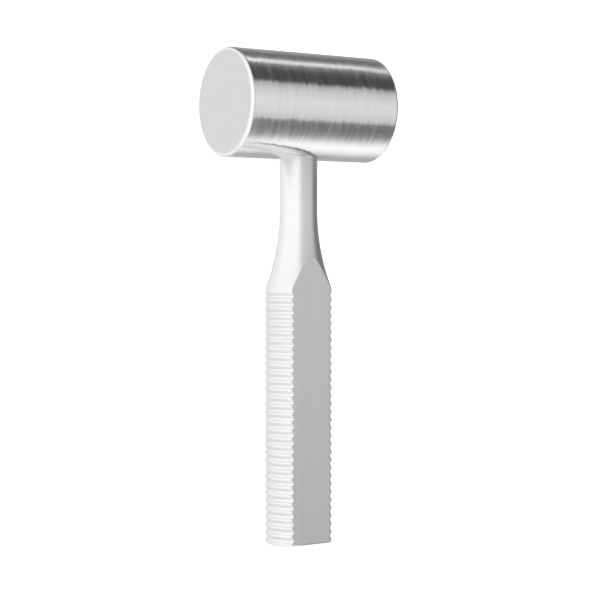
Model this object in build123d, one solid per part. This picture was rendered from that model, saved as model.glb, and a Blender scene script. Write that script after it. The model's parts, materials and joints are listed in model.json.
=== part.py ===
from build123d import *
from math import asin, atan2, cos, degrees, hypot, radians, sin, sqrt
import os

# Surgical mallet: a solid turned steel head and a one-piece turned and milled steel handle.
# Lengths in millimetres. Both pieces are drawn in a working frame and laid down at the end:
# X runs along the head, the handle runs from the head's centre towards -Y, and the grip's
# two flats face +Z and -Z. The origin of the working frame is the centre of the head.

# Head
head_diameter = 40.0
head_length = 64.2
head_edge_round = 1.2            # round between each striking face and the barrel

# Joint between the handle and the head
bore_depth = 26.0                # from the underside of the barrel to the bottom of the blind bore
bore_clearance = 0.05            # gap round the neck in the bore, on the radius
neck_end_chamfer = 1.0           # lead-in on the end of the handle that enters the bore

# Neck and bottle-shaped flare
neck_diameter = 14.05
neck_length = 18.7               # straight neck that shows below the head
flare_radius = 83.0              # hollow curve that widens the neck
shoulder_round = 6.0             # round that turns the flare into the grip

# Grip
grip_diameter = 25.0
grip_across_flats = 18.0
groove_count = 31
groove_pitch = 3.02
groove_depth = 0.5
ridge_width = 0.75               # top of the ridge left between two grooves
end_land = 0.1                   # what the last ridge is longer than half a ridge, above the end's round
grip_end_round = 0.7             # round of the edge at the end of the grip

# Half sizes, and the width that the ridges leave to a groove
head_radius = head_diameter / 2
neck_radius = neck_diameter / 2
grip_radius = grip_diameter / 2
flat_height = grip_across_flats / 2
groove_width = groove_pitch - ridge_width

# Places along the handle, as distances from the centre of the head
neck_top = head_radius - bore_depth
flare_start = head_radius + neck_length
flare_centre_radius = neck_radius + flare_radius
shoulder_centre_radius = grip_radius - shoulder_round
flare_length = sqrt(
    (flare_radius + shoulder_round) ** 2 - (flare_centre_radius - shoulder_centre_radius) ** 2
)
grip_start = flare_start + flare_length
end_round_start = grip_start + groove_count * groove_pitch + end_land
handle_end = end_round_start + grip_end_round


def on_profile(radius, distance):
    """Point of the handle's turned profile, at a radius and a distance from the head's centre."""
    return (radius, -distance)


def flare_curves():
    """The hollow flare and the round shoulder, tangent to the neck, to each other and to the grip."""
    lean = asin(flare_length / (flare_radius + shoulder_round))
    meeting_radius = flare_centre_radius - flare_radius * cos(lean)
    meeting_distance = flare_start + flare_radius * sin(lean)
    flare_middle = on_profile(
        flare_centre_radius - flare_radius * cos(lean / 2), flare_start + flare_radius * sin(lean / 2)
    )
    shoulder_middle = on_profile(
        shoulder_centre_radius + shoulder_round * cos(lean / 2), grip_start - shoulder_round * sin(lean / 2)
    )
    meeting = on_profile(meeting_radius, meeting_distance)
    flare = ThreePointArc(on_profile(neck_radius, flare_start), flare_middle, meeting)
    shoulder = ThreePointArc(meeting, shoulder_middle, on_profile(grip_radius, grip_start))
    return [flare, shoulder]


def groove_curves():
    """The grooved side of the grip: hollow round grooves with a narrow ridge left between each two."""
    curves = []
    ridge_top = on_profile(grip_radius, grip_start)
    for index in range(groove_count):
        middle = grip_start + (index + 0.5) * groove_pitch
        groove_top = on_profile(grip_radius, middle - groove_width / 2)
        groove_foot = on_profile(grip_radius, middle + groove_width / 2)
        curves.append(Line(ridge_top, groove_top))
        curves.append(ThreePointArc(groove_top, on_profile(grip_radius - groove_depth, middle), groove_foot))
        ridge_top = groove_foot
    curves.append(Line(ridge_top, on_profile(grip_radius, end_round_start)))
    return curves


def turned_bar():
    """The handle as it leaves the lathe: neck, flare and grooved grip, all round."""
    curves = [
        Line(on_profile(0, neck_top), on_profile(neck_radius - neck_end_chamfer, neck_top)),
        Line(
            on_profile(neck_radius - neck_end_chamfer, neck_top),
            on_profile(neck_radius, neck_top + neck_end_chamfer),
        ),
        Line(on_profile(neck_radius, neck_top + neck_end_chamfer), on_profile(neck_radius, flare_start)),
    ]
    curves += flare_curves()
    curves += groove_curves()
    curves += [
        end_round_curve(grip_radius),
        Line(on_profile(grip_radius - grip_end_round, handle_end), on_profile(0, handle_end)),
        Line(on_profile(0, handle_end), on_profile(0, neck_top)),
    ]
    return revolve(make_face(Wire(curves)), axis=Axis.Y)


def end_round_curve(outside):
    """Quarter round from a side that lies at this distance from the middle onto the grip's end."""
    middle = on_profile(
        outside - grip_end_round * (1 - cos(radians(45))), end_round_start + grip_end_round * sin(radians(45))
    )
    return ThreePointArc(
        on_profile(outside, end_round_start), middle, on_profile(outside - grip_end_round, handle_end)
    )


def flat_cutter():
    """What the mill takes off one side: all that lies outside the flat and its rounded end edge."""
    clear_of_bar = 2 * grip_radius
    clear_of_end = handle_end + grip_radius
    curves = [
        Line(on_profile(flat_height, flare_start), on_profile(flat_height, end_round_start)),
        end_round_curve(flat_height),
        Line(
            on_profile(flat_height - grip_end_round, handle_end),
            on_profile(flat_height - grip_end_round, clear_of_end),
        ),
        Line(
            on_profile(flat_height - grip_end_round, clear_of_end), on_profile(clear_of_bar, clear_of_end)
        ),
        Line(on_profile(clear_of_bar, clear_of_end), on_profile(clear_of_bar, flare_start)),
        Line(on_profile(clear_of_bar, flare_start), on_profile(flat_height, flare_start)),
    ]
    return extrude(make_face(Wire(curves)), amount=clear_of_bar, both=True)


def make_handle():
    """The turned bar with its two flats milled along the grip."""
    cutter = flat_cutter()
    return turned_bar() - Rot(0, -90, 0) * cutter - Rot(0, 90, 0) * cutter


def make_head():
    """The solid barrel, with rounded edges and the blind bore that holds the handle."""
    barrel = Cylinder(head_radius, head_length, rotation=(0, 90, 0))
    barrel = fillet(barrel.edges().filter_by(GeomType.CIRCLE), head_edge_round)
    bore = Pos(0, -head_radius, 0) * Cylinder(
        neck_radius + bore_clearance,
        2 * bore_depth,
        rotation=(90, 0, 0),
    )
    return barrel - bore


def resting_tilt():
    """Angle that brings the barrel and the rounded end of the lower flat onto one table."""
    drop = flat_height - grip_end_round
    slope_to_round = atan2(drop, end_round_start)
    return asin((head_radius - grip_end_round) / hypot(end_round_start, drop)) - slope_to_round


def lay_down(piece):
    """Turns a piece from the working frame to its rest on the table and centres it in plan."""
    tilt = resting_tilt()
    reach = end_round_start * cos(tilt) + (flat_height - grip_end_round) * sin(tilt) + grip_end_round
    return Pos(0, (reach - head_radius) / 2, head_radius) * Rot(degrees(tilt), 0, 0) * piece


os.makedirs("parts", exist_ok=True)
export_step(lay_down(make_head()), "parts/head.step")
export_step(lay_down(make_handle()), "parts/handle.step")
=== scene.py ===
"""Looks of a surgical mallet: a turned, brushed steel head on a satin steel handle, in a pale studio."""
import json
import math

import bmesh
import bpy
from bpy.props import FloatProperty, IntProperty, PointerProperty
from mathutils import Matrix, Vector


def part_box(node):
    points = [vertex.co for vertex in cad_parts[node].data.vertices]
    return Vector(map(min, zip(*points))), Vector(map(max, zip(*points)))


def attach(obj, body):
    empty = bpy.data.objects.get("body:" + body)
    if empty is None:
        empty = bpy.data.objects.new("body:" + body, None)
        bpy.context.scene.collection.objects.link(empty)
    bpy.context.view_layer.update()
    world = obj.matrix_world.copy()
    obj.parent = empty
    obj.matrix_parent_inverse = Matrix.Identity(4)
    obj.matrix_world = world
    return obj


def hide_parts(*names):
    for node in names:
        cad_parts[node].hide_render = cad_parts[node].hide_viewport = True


bl_info = {
    "name": "Surgical Mallet",
    "version": (1, 0, 0),
    "blender": (4, 5, 0),
    "location": "View3D > Sidebar > Mallet",
    "description": "Steel mallet with a turned, brushed head and a grooved grip with two flats",
    "category": "Add Mesh",
}

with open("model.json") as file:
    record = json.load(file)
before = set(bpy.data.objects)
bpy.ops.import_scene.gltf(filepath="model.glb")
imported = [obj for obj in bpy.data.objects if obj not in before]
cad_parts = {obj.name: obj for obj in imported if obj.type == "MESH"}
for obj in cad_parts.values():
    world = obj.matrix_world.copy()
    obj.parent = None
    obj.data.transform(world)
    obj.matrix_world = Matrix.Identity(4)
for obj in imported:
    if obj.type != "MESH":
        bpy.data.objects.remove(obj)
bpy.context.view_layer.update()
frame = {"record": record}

# Places that the frame gives
mounts = {mount["name"]: mount for mount in frame["record"]["mounts"]}
head_low, head_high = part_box("head")
head_middle = (head_low + head_high) / 2
head_radius = head_high.z - head_middle.z
head_half_length = head_high.x - head_middle.x
upper_flat_axis = Vector(mounts["grip_flat_upper"]["axis"])
handle_tilt = math.atan2(-upper_flat_axis.y, upper_flat_axis.z)

MILLIMETRE = 0.001

# A face whose middle lies nearer than this to a plane lies on it
CLOSE = 0.005 * MILLIMETRE

# How deep the brushing's marks are
MARK_DEPTH = 0.01 * MILLIMETRE

# The camera, as fitted to the photograph
CAMERA_PLACE = Vector((-0.32505, -0.02214, 0.52000))
CAMERA_RIGHT = Vector((0.8405, -0.0363, 0.5406))
CAMERA_UP = Vector((0.0110, 0.9987, 0.0500))
CAMERA_LENS = 95.85
CAMERA_SENSOR = 36.0

# Where the mirrored screens stand, as distances from the middle of the head
WALL = 1.0
LEFT_WALL = -1.2
RIGHT_WALL = 1.9
CEILING = 0.6
LEFT_CEILING = 2.2
WALL_TOP = 1.6

# Where the bright left ends on the back and front walls, and where the bands' screens end
BACK_SPLIT = -0.25
FRONT_SPLIT = 0.15
BAND_END = 2.5

# Stops of a screen that has one level all over
EVEN = ((0, 1), (1, 1))


# Sizes, finishes and studio levels that a user would change

def length(name, description, default):
    """A length that shows in the sidebar with its unit."""
    return FloatProperty(name=name, description=description, default=default, unit="LENGTH", precision=5)


def level(name, description, default, highest=2.0):
    """A brightness, tone or roughness without a unit."""
    return FloatProperty(name=name, description=description, default=default, min=0.0, max=highest)


class MalletHeadSizes(bpy.types.PropertyGroup):
    """Sizes of the turned head"""

    edge_round: length("Edge round", "Round between a striking face and the barrel", 0.0012)
    bore_radius: length("Bore radius", "Radius of the blind bore for the handle", 0.007075)
    bore_depth: length("Bore depth", "Depth of the bore from the underside of the barrel", 0.026)
    steps: IntProperty(name="Steps", description="Facets round the barrel", default=224, min=32)


class MalletHandleSizes(bpy.types.PropertyGroup):
    """Sizes of the turned and milled handle"""

    seat: length("Seat", "How far the handle reaches past the middle of the head", 0.006)
    lead_in: length("Lead-in", "Chamfer on the end that enters the bore", 0.001)
    neck_radius: length("Neck radius", "Radius of the straight neck", 0.007025)
    flare_start: length("Flare start", "From the middle of the head to where the neck widens", 0.0387)
    flare_radius: length("Flare radius", "Radius of the hollow curve that widens the neck", 0.083)
    shoulder_round: length("Shoulder round", "Round that turns the flare into the grip", 0.006)
    grip_radius: length("Grip radius", "Radius over the ridges of the grip", 0.0125)
    flat_height: length("Flat height", "From the middle of the grip to each flat", 0.009)
    groove_count: IntProperty(name="Grooves", description="Grooves along the grip", default=31, min=1)
    groove_pitch: length("Groove pitch", "From one groove to the next", 0.00302)
    groove_depth: length("Groove depth", "Depth of each groove", 0.0005)
    ridge_width: length("Ridge width", "Top of the ridge left between two grooves", 0.00075)
    end_land: length("End land", "Plain length below the last ridge", 0.0001)
    end_round: length("End round", "Round of the edge at the end of the grip", 0.0007)
    ridge_softness: length("Ridge softness", "Polished edge of each ridge", 0.00012)
    steps: IntProperty(name="Steps", description="Facets round the grip", default=128, min=32)


class MalletFinish(bpy.types.PropertyGroup):
    """Tones and roughness of the steel"""

    barrel_tone: level("Barrel tone", "Grey of the brushed barrel", 0.78)
    barrel_roughness: level("Barrel roughness", "Blur along the barrel's axis", 0.2)
    face_tone: level("Face tone", "Grey of the lapped striking faces", 0.54)
    face_roughness: level("Face roughness", "Roughness of the striking faces", 0.3)
    bore_roughness: level("Bore roughness", "Roughness of the bore", 0.4)
    rim_tone: level("Rim tone", "Grey of the rounded edge of each striking face", 0.68)
    neck_tone: level("Neck tone", "Grey of the satin neck and flare", 0.66)
    neck_roughness: level("Neck roughness", "Roughness of the satin neck and flare", 0.34)
    groove_tone: level("Groove tone", "Grey of the grooved sides", 0.65)
    groove_roughness: level("Groove roughness", "Roughness of the grooved sides", 0.32)
    flat_tone: level("Flat tone", "Grey of the milled flats", 0.63)
    flat_roughness: level("Flat roughness", "Roughness of the milled flats", 0.46)


class MalletStudio(bpy.types.PropertyGroup):
    """Levels of what the steel mirrors, and of what lights the floor"""

    brightness: level("Brightness", "Level of the screens that the steel mirrors", 1.3)
    left_lift: level("Left lift", "How much brighter the screens on the left are", 1.16)
    strip_lift: level("Strip lift", "How much brighter the strip behind the head is", 1.35)
    room: level("Room", "Even light from all round on the floor", 0.62)
    lamp_power: level("Lamp power", "Power of the soft lamp above, in watts", 10.0, 1000.0)
    floor_tone: level("Floor tone", "Grey of the floor", 0.8)
    floor_lift: level("Floor lift", "What the camera sees on top of the lit floor", 0.62)


# Helpers for modelling

def select_only(piece):
    """Makes one object the active and only selected one."""
    bpy.ops.object.select_all(action="DESELECT")
    piece.select_set(True)
    bpy.context.view_layer.objects.active = piece


def drawn_line(name, points):
    """A new object whose mesh is one open line through the points, left in edit mode."""
    bpy.ops.object.select_all(action="DESELECT")
    bpy.ops.mesh.primitive_plane_add(size=MILLIMETRE)
    piece = bpy.context.object
    piece.name = name
    bpy.ops.object.mode_set(mode="EDIT")
    bpy.ops.mesh.select_mode(type="VERT")
    bpy.ops.mesh.select_all(action="SELECT")
    bpy.ops.mesh.merge(type="CENTER")
    bpy.ops.transform.translate(value=points[0])
    for start, end in zip(points, points[1:]):
        bpy.ops.mesh.extrude_region_move(TRANSFORM_OT_translate={"value": end - start})
    return piece


def pick_faces(piece, test):
    """Selects, in edit mode, the faces that pass the test."""
    bpy.ops.mesh.select_all(action="DESELECT")
    bpy.ops.mesh.select_mode(type="FACE")
    shape = bmesh.from_edit_mesh(piece.data)
    for face in shape.faces:
        face.select_set(test(face))
    shape.select_flush_mode()
    bmesh.update_edit_mesh(piece.data)


def turn_line(piece, axis, steps):
    """Spins a drawn line once round an axis through the origin into a closed, outward shape."""
    bpy.ops.mesh.select_all(action="SELECT")
    bpy.ops.mesh.spin(steps=steps, angle=math.tau, center=(0, 0, 0), axis=axis)
    bpy.ops.mesh.select_all(action="SELECT")
    bpy.ops.mesh.remove_doubles(threshold=0.002 * MILLIMETRE)
    bpy.ops.mesh.normals_make_consistent(inside=False)
    bpy.ops.object.mode_set(mode="OBJECT")
    return piece


def arc(centre, radius, start, end, steps):
    """Points of an arc in the XY plane between two angles in degrees, without the first."""
    points = []
    for index in range(1, steps + 1):
        angle = math.radians(start + (end - start) * index / steps)
        across = centre[0] + radius * math.cos(angle)
        along = centre[1] + radius * math.sin(angle)
        points.append(Vector((across, along, 0)))
    return points


def eased(start, corner, end, steps=4):
    """Points of a soft turn round a corner, without the first."""
    places = [index / steps for index in range(1, steps + 1)]
    return [start.lerp(corner, place).lerp(corner.lerp(end, place), place) for place in places]


def cut(piece, tool):
    """Takes the tool's volume out of the piece and clears the tool away."""
    select_only(piece)
    modifier = piece.modifiers.new("cut", "BOOLEAN")
    modifier.operation = "DIFFERENCE"
    modifier.solver = "EXACT"
    modifier.object = tool
    bpy.ops.object.modifier_apply(modifier=modifier.name)
    bpy.data.objects.remove(tool, do_unlink=True)


def put_in_place(piece):
    """Lays a piece, modelled round the head's middle, onto the table, with its place in its mesh."""
    select_only(piece)
    piece.rotation_euler = (handle_tilt, 0, 0)
    piece.location = head_middle
    bpy.ops.object.transform_apply(location=True, rotation=True, scale=True)


def dress(piece, materials, choose):
    """Gives each face of a piece the material whose name the chooser returns."""
    names = list(materials)
    for name in names:
        piece.data.materials.append(materials[name])
    for face in piece.data.polygons:
        face.material_index = names.index(choose(face))


def shade(piece, is_flat):
    """Smooth shading with crisp borders round the flat places."""
    select_only(piece)
    bpy.ops.object.shade_smooth()
    bpy.ops.object.mode_set(mode="EDIT")
    pick_faces(piece, is_flat)
    bpy.ops.mesh.region_to_loop()
    bpy.ops.mesh.mark_sharp()
    bpy.ops.object.mode_set(mode="OBJECT")


# Helpers for materials

def new_group(name, inputs, outputs):
    """A shader node group with named sockets and default values."""
    group = bpy.data.node_groups.new(name, "ShaderNodeTree")
    for label, kind, value in inputs:
        socket = group.interface.new_socket(name=label, in_out="INPUT", socket_type=kind)
        if value is not None:
            socket.default_value = value
    for label, kind in outputs:
        group.interface.new_socket(name=label, in_out="OUTPUT", socket_type=kind)
    return group, group.nodes.new("NodeGroupInput"), group.nodes.new("NodeGroupOutput")


def math_node(tree, operation, first, second):
    """A Math node; each operand is a socket or a number."""
    node = tree.nodes.new("ShaderNodeMath")
    node.operation = operation
    for socket, value in zip(node.inputs, (first, second)):
        if isinstance(value, bpy.types.NodeSocket):
            tree.links.new(value, socket)
        else:
            socket.default_value = value
    return node.outputs[0]


def noise(tree, place, scale, detail, roughness=0.6):
    """A noise texture's value at a place."""
    node = tree.nodes.new("ShaderNodeTexNoise")
    node.inputs["Scale"].default_value = scale
    node.inputs["Detail"].default_value = detail
    node.inputs["Roughness"].default_value = roughness
    tree.links.new(place, node.inputs["Vector"])
    return node.outputs["Fac"]


def ranged(tree, value, low, high, to_low, to_high):
    """A value stretched from one range to another and kept inside it."""
    node = tree.nodes.new("ShaderNodeMapRange")
    tree.links.new(value, node.inputs["Value"])
    limits = {"From Min": low, "From Max": high, "To Min": to_low, "To Max": to_high}
    for label, number in limits.items():
        if isinstance(number, bpy.types.NodeSocket):
            tree.links.new(number, node.inputs[label])
        else:
            node.inputs[label].default_value = number
    return node.outputs["Result"]


def graded(tree, value, stops):
    """Grey that follows a value through soft stops."""
    ramp = tree.nodes.new("ShaderNodeValToRGB")
    ramp.color_ramp.interpolation = "EASE"
    while len(ramp.color_ramp.elements) < len(stops):
        ramp.color_ramp.elements.new(1.0)
    for element, (position, tone) in zip(ramp.color_ramp.elements, stops):
        element.position = position
        element.color = (tone, tone, tone, 1)
    tree.links.new(value, ramp.inputs["Fac"])
    return ramp.outputs["Color"]


def brushing_group():
    """Fine parallel marks, at a place stretched so that one unit is the width of one mark."""
    group, inside, outside = new_group(
        "brushing",
        [
            ("Place", "NodeSocketVector", None),
            ("Tone", "NodeSocketFloat", 0.75),
            ("Tone spread", "NodeSocketFloat", 0.06),
            ("Roughness", "NodeSocketFloat", 0.3),
            ("Roughness spread", "NodeSocketFloat", 0.05),
        ],
        [("Color", "NodeSocketColor"), ("Roughness", "NodeSocketFloat"), ("Height", "NodeSocketFloat")],
    )
    place = inside.outputs["Place"]
    fine = math_node(group, "MULTIPLY", noise(group, place, 1.0, 3.0, 0.7), 0.6)
    broad = math_node(group, "MULTIPLY", noise(group, place, 0.13, 2.0), 0.4)
    marks = math_node(group, "ADD", fine, broad)
    centred = ranged(group, marks, 0.3, 0.7, -1.0, 1.0)

    def varied(value, spread):
        """A value that the marks push up and down by a spread."""
        change = math_node(group, "MULTIPLY", centred, inside.outputs[spread])
        return math_node(group, "ADD", inside.outputs[value], change)

    grey = group.nodes.new("ShaderNodeCombineColor")
    tone = varied("Tone", "Tone spread")
    for channel in ("Red", "Green", "Blue"):
        group.links.new(tone, grey.inputs[channel])
    group.links.new(grey.outputs[0], outside.inputs["Color"])
    group.links.new(varied("Roughness", "Roughness spread"), outside.inputs["Roughness"])
    group.links.new(marks, outside.inputs["Height"])
    return group


def piece_place(tree, tilt, grain):
    """Object coordinates turned to the piece and measured in grains of this size."""
    coordinate = tree.nodes.new("ShaderNodeTexCoord")
    mapping = tree.nodes.new("ShaderNodeMapping")
    mapping.vector_type = "TEXTURE"
    mapping.inputs["Location"].default_value = head_middle
    mapping.inputs["Rotation"].default_value = (tilt, 0, 0)
    mapping.inputs["Scale"].default_value = grain
    tree.links.new(coordinate.outputs["Object"], mapping.inputs["Vector"])
    return mapping.outputs["Vector"]


def steel(name, tone, roughness, tilt, grain, spread=0.02, rough_spread=0.04, bump=0.06):
    """A steel finish: brushing of a given grain in tone, roughness and height."""
    material = bpy.data.materials.new(name)
    material.use_nodes = True
    tree = material.node_tree
    surface = tree.nodes["Principled BSDF"]
    surface.inputs["Metallic"].default_value = 1.0
    brushing = tree.nodes.new("ShaderNodeGroup")
    brushing.node_tree = bpy.data.node_groups.get("brushing") or brushing_group()
    brushing.inputs["Tone"].default_value = tone
    brushing.inputs["Tone spread"].default_value = spread
    brushing.inputs["Roughness"].default_value = roughness
    brushing.inputs["Roughness spread"].default_value = rough_spread
    tree.links.new(piece_place(tree, tilt, grain), brushing.inputs["Place"])
    relief = tree.nodes.new("ShaderNodeBump")
    relief.inputs["Strength"].default_value = bump
    relief.inputs["Distance"].default_value = MARK_DEPTH
    tree.links.new(brushing.outputs["Height"], relief.inputs["Height"])
    tree.links.new(brushing.outputs["Color"], surface.inputs["Base Color"])
    tree.links.new(brushing.outputs["Roughness"], surface.inputs["Roughness"])
    tree.links.new(relief.outputs["Normal"], surface.inputs["Normal"])
    return material


def brush_round(material, axis, amount):
    """Blurs reflections across the brushing only, for marks that run round an axis."""
    tree = material.node_tree
    surface = tree.nodes["Principled BSDF"]
    tangent = tree.nodes.new("ShaderNodeTangent")
    tangent.direction_type = "RADIAL"
    tangent.axis = axis
    tree.links.new(tangent.outputs["Tangent"], surface.inputs["Tangent"])
    surface.inputs["Anisotropic"].default_value = amount
    surface.inputs["Anisotropic Rotation"].default_value = 0.25


def vector_node(tree, operation, first, second=None):
    """A Vector Math node between two sockets or fixed vectors."""
    node = tree.nodes.new("ShaderNodeVectorMath")
    node.operation = operation
    for socket, value in zip(node.inputs, (first, second)):
        if isinstance(value, bpy.types.NodeSocket):
            tree.links.new(value, socket)
        elif value is not None:
            socket.default_value = value
    return node.outputs[0]


def sway_round(material, axis, size, amount):
    """Turns each mark a little round the axis, so that the edges of what it mirrors look combed."""
    tree = material.node_tree
    relief = next(node for node in tree.nodes if node.type == "BUMP")
    normal = tree.nodes.new("ShaderNodeNewGeometry").outputs["Normal"]
    marks = noise(tree, piece_place(tree, 0, size), 1.0, 3.0, 0.65)
    lean = ranged(tree, marks, 0.3, 0.7, -amount, amount)
    sideways = vector_node(tree, "CROSS_PRODUCT", axis, normal)
    moved = vector_node(tree, "ADD", normal, vector_node(tree, "MULTIPLY", sideways, lean))
    tree.links.new(vector_node(tree, "NORMALIZE", moved), relief.inputs["Normal"])


def paint_groove_shade(material, start, pitch, stops):
    """Paints shade into the satin's colour along each groove, through stops that run from one ridge to
    the next.
    """
    tree = material.node_tree
    surface = tree.nodes["Principled BSDF"]
    split = tree.nodes.new("ShaderNodeSeparateXYZ")
    tree.links.new(piece_place(tree, handle_tilt, Vector((pitch, pitch, pitch))), split.inputs[0])
    away = math_node(tree, "SUBTRACT", -start / pitch, split.outputs["Y"])
    # Painted shade, not a tone of the steel: this grey dims each groove's wall nearer the head, close to
    # its bottom
    groove_tone = graded(tree, math_node(tree, "FRACT", away, 0.0), stops)
    satin = surface.inputs["Base Color"].links[0].from_socket
    tree.links.new(vector_node(tree, "MULTIPLY", satin, groove_tone), surface.inputs["Base Color"])


def glowing(name, axis, start, end, stops, glow):
    """A screen's glow, graded through stops between two places on an axis."""
    material = bpy.data.materials.new(name)
    material.use_nodes = True
    tree = material.node_tree
    tree.nodes.clear()
    output = tree.nodes.new("ShaderNodeOutputMaterial")
    light = tree.nodes.new("ShaderNodeEmission")
    light.inputs["Strength"].default_value = glow
    coordinate = tree.nodes.new("ShaderNodeTexCoord")
    split = tree.nodes.new("ShaderNodeSeparateXYZ")
    tree.links.new(coordinate.outputs["Object"], split.inputs[0])
    along = ranged(tree, split.outputs[axis], start, end, 0.0, 1.0)
    tree.links.new(graded(tree, along, stops), light.inputs["Color"])
    tree.links.new(light.outputs[0], output.inputs["Surface"])
    return material


# The pieces

class MALLET_OT_head(bpy.types.Operator):
    """Turn the steel head, bore it and give it its brushed finish"""

    bl_idname = "mallet.head"
    bl_label = "Add Mallet Head"

    def execute(self, context):
        sizes = context.scene.mallet_head
        head = turn_line(drawn_line("mallet_head", self.outline(sizes)), (1, 0, 0), sizes.steps)
        cut(head, self.bore_tool(sizes))
        shade(head, lambda face: self.is_apart(face.calc_center_median(), sizes))
        dress(head, self.finishes(context), lambda face: self.choose(face, sizes))
        put_in_place(head)
        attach(head, "root")
        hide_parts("head")
        return {"FINISHED"}

    @staticmethod
    def outline(sizes):
        """Half outline of the barrel, with rings beside the bore that keep its cut in short faces."""
        edge = sizes.edge_round
        collar = 1.4 * sizes.bore_radius
        rings = (-2 * collar, -collar, collar, 2 * collar)
        points = [Vector((-head_half_length, 0, 0)), Vector((-head_half_length, head_radius - edge, 0))]
        points += arc((-head_half_length + edge, head_radius - edge), edge, 180, 90, 8)
        points += [Vector((ring, head_radius, 0)) for ring in rings]
        points += [Vector((head_half_length - edge, head_radius, 0))]
        points += arc((head_half_length - edge, head_radius - edge), edge, 90, 0, 8)
        points += [Vector((head_half_length, 0, 0))]
        return points

    @staticmethod
    def bore_tool(sizes):
        """A round tool that leaves the blind bore in the underside."""
        bottom = sizes.bore_depth - head_radius
        points = [
            Vector((0, bottom, 0)),
            Vector((sizes.bore_radius, bottom, 0)),
            Vector((sizes.bore_radius, -2 * head_radius, 0)),
            Vector((0, -2 * head_radius, 0)),
        ]
        return turn_line(drawn_line("bore_tool", points), (0, 1, 0), 96)

    @staticmethod
    def in_bore(place, sizes):
        """Whether a place lies on the wall or the bottom of the bore."""
        near_axis = math.hypot(place.x, place.z) < sizes.bore_radius + CLOSE
        return near_axis and place.y < sizes.bore_depth - head_radius + CLOSE

    def is_apart(self, place, sizes):
        """Whether a place lies on a striking face or in the bore, which have crisp borders."""
        return abs(place.x) > head_half_length - CLOSE or self.in_bore(place, sizes)

    def choose(self, face, sizes):
        """Which finish a face of the head has."""
        if abs(face.center.x) > head_half_length - CLOSE:
            return "faces"
        if abs(face.center.x) > head_half_length - sizes.edge_round:
            return "rims"
        if self.in_bore(face.center, sizes):
            return "bore"
        return "barrel"

    @staticmethod
    def finishes(context):
        """The brushed barrel, the lapped striking faces with their rims, and the plain bore."""
        finish = context.scene.mallet_finish
        round_marks = Vector((0.00022, 0.012, 0.012))
        barrel = steel(
            "brushed_barrel", finish.barrel_tone, finish.barrel_roughness, 0, round_marks,
            spread=0.04, rough_spread=0.05, bump=0.1,
        )
        brush_round(barrel, "X", 1.0)
        swaying_marks = Vector((0.0009, 0.011, 0.011))
        sway_round(barrel, Vector((1, 0, 0)), swaying_marks, 0.028)
        lapped = Vector((0.001, 0.0003, 0.0003))
        faces = steel("lapped_faces", finish.face_tone, finish.face_roughness, 0, lapped, bump=0.08)
        rims = steel("rounded_rims", finish.rim_tone, finish.face_roughness, 0, lapped, bump=0.08)
        bored = Vector((0.002, 0.0004, 0.002))
        bore = steel(
            "bored_steel", finish.face_tone, finish.bore_roughness, 0, bored,
            spread=0.05, rough_spread=0.05, bump=0.1,
        )
        return {"barrel": barrel, "faces": faces, "rims": rims, "bore": bore}


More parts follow.
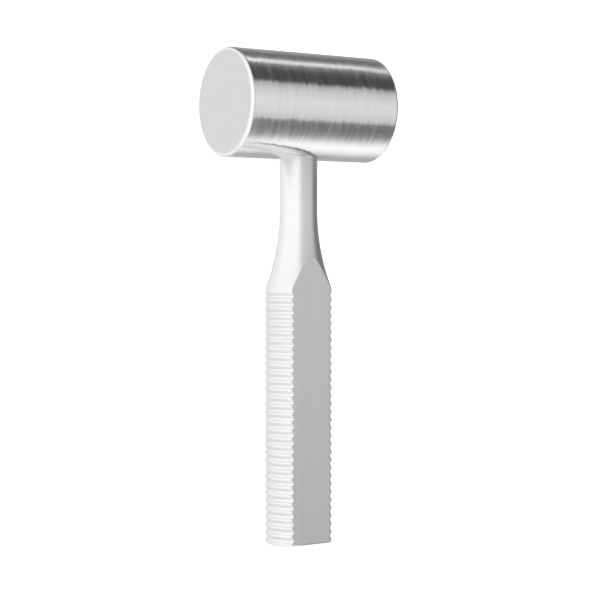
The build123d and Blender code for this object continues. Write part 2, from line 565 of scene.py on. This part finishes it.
class MALLET_OT_handle(bpy.types.Operator):
    """Turn the one-piece handle, mill its two flats and give it its satin finish"""

    bl_idname = "mallet.handle"
    bl_label = "Add Mallet Handle"

    def execute(self, context):
        sizes = context.scene.mallet_handle
        line, grip_start, end = self.outline(sizes)
        handle = drawn_line("mallet_handle", line)
        turn_line(handle, (0, 1, 0), sizes.steps)
        for side in (0, math.pi):
            cut(handle, self.flat_tool(sizes, end, side))
        shade(handle, lambda face: self.is_flat(face.calc_center_median(), face.normal, sizes, end))
        finishes = self.finishes(context, grip_start)
        dress(handle, finishes, lambda face: self.choose(face, sizes, grip_start, end))
        put_in_place(handle)
        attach(handle, "root")
        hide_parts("handle")
        return {"FINISHED"}

    def outline(self, sizes):
        """Half outline of the turned bar, where the grip starts, and where its end round starts."""
        hollow = sizes.neck_radius + sizes.flare_radius
        shoulder = sizes.grip_radius - sizes.shoulder_round
        reach = sizes.flare_radius + sizes.shoulder_round
        lean = math.acos((hollow - shoulder) / reach)
        grip_start = sizes.flare_start + reach * math.sin(lean)
        leaned = math.degrees(lean)
        points = [
            Vector((0, sizes.seat, 0)),
            Vector((sizes.neck_radius - sizes.lead_in, sizes.seat, 0)),
            Vector((sizes.neck_radius, sizes.seat - sizes.lead_in, 0)),
            Vector((sizes.neck_radius, -sizes.flare_start, 0)),
        ]
        points += arc((hollow, -sizes.flare_start), sizes.flare_radius, 180, 180 + leaned, 24)
        points += arc((shoulder, -grip_start), sizes.shoulder_round, leaned, 0, 8)
        points += self.groove_points(sizes, grip_start)
        end = grip_start + sizes.groove_count * sizes.groove_pitch + sizes.end_land
        points.append(Vector((sizes.grip_radius, -end, 0)))
        points += arc((sizes.grip_radius - sizes.end_round, -end), sizes.end_round, 0, -90, 6)
        points.append(Vector((0, -end - sizes.end_round, 0)))
        return points, grip_start, end

    @staticmethod
    def groove_points(sizes, grip_start):
        """Points of the hollow grooves, with the edges of the ridges between them eased."""
        half_groove = (sizes.groove_pitch - sizes.ridge_width) / 2
        groove_radius = (half_groove ** 2 + sizes.groove_depth ** 2) / (2 * sizes.groove_depth)
        opening = math.degrees(math.asin(half_groove / groove_radius))
        soft = sizes.ridge_softness
        opened = opening - math.degrees(soft / groove_radius)
        points = []
        for index in range(sizes.groove_count):
            middle = -grip_start - (index + 0.5) * sizes.groove_pitch
            centre = (sizes.grip_radius - sizes.groove_depth + groove_radius, middle)
            hollow_start = arc(centre, groove_radius, 180, 180 - opened, 1)[0]
            hollow_line = arc(centre, groove_radius, 180 - opened, 180 + opened, 8)
            top = Vector((sizes.grip_radius, middle + half_groove, 0))
            foot = Vector((sizes.grip_radius, middle - half_groove, 0))
            points.append(top + Vector((0, soft, 0)))
            points += eased(points[-1], top, hollow_start) + hollow_line
            points += eased(points[-1], foot, foot - Vector((0, soft, 0)))
        return points

    @staticmethod
    def flat_tool(sizes, end, side):
        """A milling tool whose outline leaves one flat and its rounded end edge."""
        clear = 2 * sizes.grip_radius
        low = sizes.flat_height
        points = [Vector((low, -sizes.flare_start, 0)), Vector((low, -end, 0))]
        points += arc((low - sizes.end_round, -end), sizes.end_round, 0, -90, 6)
        points += [
            Vector((low - sizes.end_round, -end - clear, 0)),
            Vector((clear, -end - clear, 0)),
            Vector((clear, -sizes.flare_start, 0)),
        ]
        tool = drawn_line("flat_tool", points)
        bpy.ops.mesh.select_all(action="SELECT")
        bpy.ops.mesh.edge_face_add()
        bpy.ops.mesh.extrude_region_move(TRANSFORM_OT_translate={"value": (0, 0, 2 * clear)})
        bpy.ops.mesh.select_all(action="SELECT")
        bpy.ops.mesh.normals_make_consistent(inside=False)
        bpy.ops.object.mode_set(mode="OBJECT")
        centred = Matrix.Translation((0, 0, -clear))
        tool.matrix_world = Matrix.Rotation(side - math.pi / 2, 4, "Y") @ centred
        bpy.context.view_layer.update()
        return tool

    @staticmethod
    def is_flat(place, normal, sizes, end):
        """Whether a face lies on a flat or on the end of the grip."""
        on_flat = abs(normal.z) > 0.9999 and abs(abs(place.z) - sizes.flat_height) < CLOSE
        return on_flat or place.y < -end - sizes.end_round + CLOSE

    def choose(self, face, sizes, grip_start, end):
        """Which finish a face of the handle has."""
        if self.is_flat(face.center, face.normal, sizes, end):
            return "flats" if face.center.y > -end else "end"
        return "neck" if face.center.y > -grip_start else "grooves"

    @staticmethod
    def finishes(context, grip_start):
        """The satin neck, the grooved sides with shade painted along each groove, the milled flats and
        the turned end.
        """
        finish = context.scene.mallet_finish
        pitch = context.scene.mallet_handle.groove_pitch
        across = Vector((0.004, 0.0003, 0.004))
        neck = steel("satin_neck", finish.neck_tone, finish.neck_roughness, handle_tilt, across)
        groove_finish = (finish.groove_tone, finish.groove_roughness)
        grooves = steel("grooved_steel", *groove_finish, handle_tilt, across)
        # Painted shade in each groove: the colour is darkened on the wall nearer the head, close to the
        # groove's bottom
        groove_shade_stops = ((0, 1), (0.25, 0.95), (0.38, 0.84), (0.45, 0.84), (0.54, 1), (1, 1))
        paint_groove_shade(grooves, grip_start, pitch, groove_shade_stops)
        lengthwise = Vector((0.00018, 0.012, 0.002))
        flats = steel(
            "milled_flats", finish.flat_tone, finish.flat_roughness, handle_tilt, lengthwise,
            spread=0.03, bump=0.1,
        )
        turned = Vector((0.0004, 0.002, 0.0004))
        end = steel("turned_end", finish.neck_tone, finish.neck_roughness, handle_tilt, turned)
        return {"neck": neck, "grooves": grooves, "flats": flats, "end": end}


class MALLET_OT_stage(bpy.types.Operator):
    """Set the camera, the pale floor, the soft lamp, the white room and the mirrored screens"""

    bl_idname = "mallet.stage"
    bl_label = "Add Studio"

    def execute(self, context):
        studio = context.scene.mallet_studio
        self.camera(context)
        self.floor(studio)
        self.room(context, studio)
        self.lamp(studio)
        self.band_screens(studio)
        self.side_screens(studio)
        context.scene.view_settings.view_transform = "Standard"
        return {"FINISHED"}

    @staticmethod
    def camera(context):
        """The camera at the photograph's place."""
        bpy.ops.object.camera_add()
        camera = context.object
        camera.name = "camera"
        right = CAMERA_RIGHT.normalized()
        back = right.cross(CAMERA_UP).normalized()
        turn = Matrix((right, back.cross(right), back)).transposed()
        camera.matrix_world = Matrix.Translation(CAMERA_PLACE) @ turn.to_4x4()
        camera.data.lens = CAMERA_LENS
        camera.data.sensor_width = CAMERA_SENSOR
        context.scene.camera = camera

    @staticmethod
    def floor(studio):
        """A wide pale floor that keeps the soft shadow and reads near white to the camera."""
        bpy.ops.mesh.primitive_plane_add(size=6.0)
        floor = bpy.context.object
        floor.name = "floor"
        material = bpy.data.materials.new("pale_floor")
        material.use_nodes = True
        tree = material.node_tree
        surface = tree.nodes["Principled BSDF"]
        surface.inputs["Base Color"].default_value = (studio.floor_tone,) * 3 + (1,)
        surface.inputs["Roughness"].default_value = 0.9
        surface.inputs["Specular IOR Level"].default_value = 0.0
        surface.inputs["Emission Color"].default_value = (1, 1, 1, 1)
        path = tree.nodes.new("ShaderNodeLightPath")
        lift = math_node(tree, "MULTIPLY", path.outputs["Is Camera Ray"], studio.floor_lift)
        tree.links.new(lift, surface.inputs["Emission Strength"])
        floor.data.materials.append(material)
        floor.visible_glossy = False

    @staticmethod
    def room(context, studio):
        """White all round for the camera and for the steel, and even light on the floor."""
        world = context.scene.world or bpy.data.worlds.new("room")
        context.scene.world = world
        world.use_nodes = True
        world.cycles.sampling_method = "NONE"
        tree = world.node_tree
        background = tree.nodes.get("Background") or tree.nodes.new("ShaderNodeBackground")
        background.inputs["Color"].default_value = (1, 1, 1, 1)
        path = tree.nodes.new("ShaderNodeLightPath")
        seen = math_node(tree, "MAXIMUM", path.outputs["Is Camera Ray"], path.outputs["Is Glossy Ray"])
        strength = ranged(tree, seen, 0.0, 1.0, studio.room, 1.0)
        tree.links.new(strength, background.inputs["Strength"])

    @staticmethod
    def lamp(studio):
        """One large soft lamp above and to the left, which the steel doesn't mirror."""
        bpy.ops.object.light_add(type="AREA", location=(-0.5, 0.2, 1.2))
        lamp = bpy.context.object
        lamp.name = "soft_lamp"
        lamp.data.shape = "DISK"
        lamp.data.size = 0.9
        lamp.data.energy = studio.lamp_power
        lamp.rotation_euler = (head_middle - lamp.location).to_track_quat("-Z", "Y").to_euler()
        lamp.visible_glossy = False

    @staticmethod
    def height(angle):
        """Height on the front or back wall for a direction this many degrees from straight up."""
        return WALL / math.tan(math.radians(angle))

    def band_screens(self, studio):
        """Screens above, behind and before the head, which draw the bands along the barrel."""
        glow = studio.brightness
        front_edge = -CEILING * math.tan(math.radians(39))
        back_edge = CEILING * math.tan(math.radians(38))
        strip_low, strip_high, front_low_top = self.height(94), self.height(87), self.height(78)
        back_span = (BACK_SPLIT, BAND_END)
        front_span = (FRONT_SPLIT, BAND_END)

        bright = ((0.3, 0.66), (0.5, 0.69), (0.7, 0.61))
        overhead = ((0, 0.48), (0.16, 0.6), *bright, (0.86, 0.49), (1, 0.33))
        place = {"X": (-0.24, 1.16), "Y": (front_edge, back_edge), "Z": CEILING}
        self.screen("overhead_screen", place, "Y", overhead, glow)

        back = ((0, 0.13), (0.15, 0.07), (0.35, 0.03), (0.6, 0.03), (1, 0.1))
        place = {"X": back_span, "Y": WALL, "Z": (strip_high, WALL_TOP)}
        self.screen("back_screen", place, "Z", back, glow)

        place = {"X": back_span, "Y": WALL, "Z": (strip_low, strip_high)}
        self.screen("back_strip", place, "Z", EVEN, studio.strip_lift * glow)

        back_low = ((0, 0.28), (0.5, 0.14), (0.75, 0.14), (1, 0.24))
        place = {"X": back_span, "Y": WALL, "Z": (-WALL, strip_low)}
        self.screen("back_low_screen", place, "Z", back_low, glow)

        front = ((0, 0.32), (0.1, 0.18), (0.3, 0.11), (0.5, 0.11), (0.7, 0.18), (1, 0.28))
        place = {"X": front_span, "Y": -WALL, "Z": (front_low_top, WALL_TOP)}
        self.screen("front_screen", place, "Z", front, glow)

        bright = ((0.29, 0.75), (0.47, 1), (0.66, 1), (0.79, 0.86))
        front_low = ((0, 0.52), *bright, (0.9, 0.58), (1, 0.36))
        place = {"X": front_span, "Y": -WALL, "Z": (-WALL, front_low_top)}
        self.screen("front_low_screen", place, "Z", front_low, glow)

    def side_screens(self, studio):
        """Screens right, left and below, which light the neck, the grooves and the faces."""
        glow = studio.brightness
        left_glow = studio.left_lift * glow
        left_height = (-WALL, LEFT_CEILING)

        right = ((0, 0.28), (0.4, 0.17), (1, 0.2))
        place = {"X": RIGHT_WALL, "Y": (-WALL, WALL), "Z": (-WALL, WALL_TOP)}
        self.screen("right_screen", place, "Z", right, glow)

        left = ((0, 0.9), (0.3, 0.9), (0.43, 1), (1, 1))
        place = {"X": LEFT_WALL, "Y": (-2 * WALL, 2 * WALL), "Z": left_height}
        self.screen("left_screen", place, "Y", left, left_glow)

        front_left = ((0, 0.75), (0.3, 0.9), (0.45, 1), (1, 1))
        place = {"X": (LEFT_WALL, FRONT_SPLIT), "Y": -WALL, "Z": left_height}
        self.screen("front_left_screen", place, "Z", front_left, left_glow)

        back_left = ((0, 0.8), (0.22, 0.9), (0.35, 1), (1, 1))
        place = {"X": (LEFT_WALL, BACK_SPLIT), "Y": WALL, "Z": left_height}
        self.screen("back_left_screen", place, "Z", back_left, glow)

        place = {"X": (LEFT_WALL, -0.4), "Y": (-WALL, WALL), "Z": LEFT_CEILING}
        self.screen("upper_left_screen", place, "Y", EVEN, left_glow)

        under = ((0, 1), (0.32, 1), (0.45, 0.7), (0.58, 0.38), (1, 0.3))
        place = {"X": (LEFT_WALL, RIGHT_WALL), "Y": (-WALL, WALL), "Z": -WALL}
        self.screen("under_screen", place, "X", under, glow)

    @staticmethod
    def screen(name, place, grading, stops, glow):
        """A flat screen with a span on two axes and a place on the third, graded along one span."""
        axes = "XYZ"
        square_to = next(axis for axis in axes if isinstance(place[axis], float))
        first, second = [axis for axis in axes if axis != square_to]
        spans = {**place, square_to: (place[square_to], place[square_to])}
        middle = Vector([sum(spans[axis]) / 2 for axis in axes])
        size = {axis: spans[axis][1] - spans[axis][0] for axis in axes}
        turn = {"X": (math.pi / 2, 0, math.pi / 2), "Y": (math.pi / 2, 0, 0), "Z": (0, 0, 0)}[square_to]
        bpy.ops.object.select_all(action="DESELECT")
        bpy.ops.mesh.primitive_plane_add(size=1.0, location=head_middle + middle, rotation=turn)
        screen = bpy.context.object
        screen.name = name
        screen.scale = (size[first], size[second], 1)
        bpy.ops.object.transform_apply(location=True, rotation=True, scale=True)
        start = head_middle[axes.index(grading)] + spans[grading][0]
        screen.data.materials.append(glowing(name, grading, start, start + size[grading], stops, glow))
        screen.visible_camera = False
        screen.visible_diffuse = False
        screen.visible_shadow = False
        screen.visible_transmission = False


class MALLET_PT_sidebar(bpy.types.Panel):
    """Sizes, finishes and pieces of the mallet"""

    bl_label = "Surgical Mallet"
    bl_idname = "MALLET_PT_sidebar"
    bl_space_type = "VIEW_3D"
    bl_region_type = "UI"
    bl_category = "Mallet"

    def draw(self, context):
        layout = self.layout
        for operator in PIECES:
            layout.operator(operator.bl_idname)
        for name, group in SETTINGS.items():
            box = layout.box()
            box.label(text=group.__doc__)
            for field in group.__annotations__:
                box.prop(getattr(context.scene, name), field)


SETTINGS = {
    "mallet_head": MalletHeadSizes,
    "mallet_handle": MalletHandleSizes,
    "mallet_finish": MalletFinish,
    "mallet_studio": MalletStudio,
}
PIECES = (MALLET_OT_stage, MALLET_OT_head, MALLET_OT_handle)
CLASSES = (*SETTINGS.values(), *PIECES, MALLET_PT_sidebar)


def register():
    """Registers the classes and hangs the settings on the scene."""
    for item in CLASSES:
        bpy.utils.register_class(item)
    for name, group in SETTINGS.items():
        setattr(bpy.types.Scene, name, PointerProperty(type=group))


def unregister():
    """Takes the settings and the classes away again."""
    for name in SETTINGS:
        delattr(bpy.types.Scene, name)
    for item in reversed(CLASSES):
        bpy.utils.unregister_class(item)


def main():
    """Builds the stage and both pieces."""
    register()
    bpy.ops.mallet.stage()
    bpy.ops.mallet.head()
    bpy.ops.mallet.handle()


if __name__ == "__main__":
    main()
